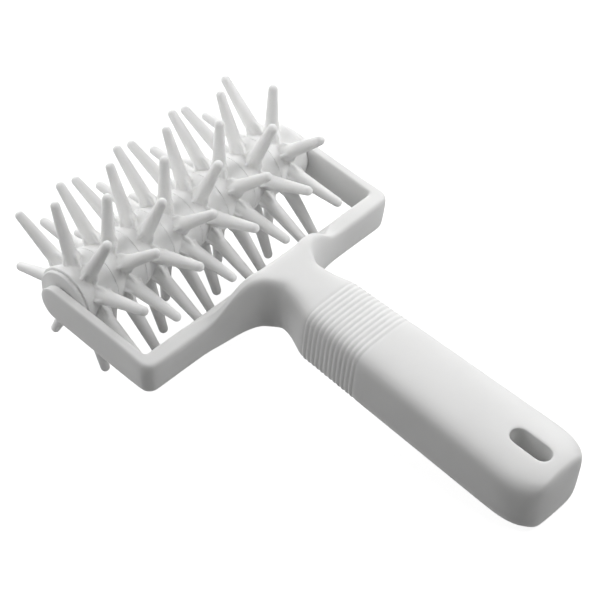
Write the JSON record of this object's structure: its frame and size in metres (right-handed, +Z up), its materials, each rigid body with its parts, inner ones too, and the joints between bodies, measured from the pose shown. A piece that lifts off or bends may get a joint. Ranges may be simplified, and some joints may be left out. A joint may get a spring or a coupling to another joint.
{
  "type": "dough docker",
  "caption": "Hand roller for docking dough: staggered spiked rings on an axle in a moulded fork, with a long grip, cross grooves and a hanging slot.",
  "frame": {"origin": "centre of the bounding box at the surface the tool lies on, below the middle of its length", "axes": "+X along the roller's axle, +Y away from the grip towards the roller, +Z up as the tool lies on its lowest spikes and the end of the grip"},
  "size_m": [0.124, 0.2162, 0.0716],
  "materials": {
    "fork_plastic": "satin white moulded plastic",
    "ring_plastic": "satin white moulded plastic, slightly glossier at the tips",
    "washer_plastic": "satin white plastic",
    "axle_plastic": "natural white plastic, hidden"
  },
  "bodies": {
    "frame": {"frame_handle": "fork_plastic"},
    "roller": {"axle": "axle_plastic", "ring_1": "ring_plastic", "ring_2": "ring_plastic", "ring_3": "ring_plastic", "ring_4": "ring_plastic", "ring_5": "ring_plastic", "ring_6": "ring_plastic", "ring_7": "ring_plastic", "ring_8": "ring_plastic", "washer_left": "washer_plastic", "washer_right": "washer_plastic"}
  },
  "joints": [
    {"name": "roller_spin", "type": "hinge", "parent": "frame", "child": "roller", "pos_m": [0, 0.07142, 0.0358], "axis": [1, 0, 0], "continuous": true}
  ]
}
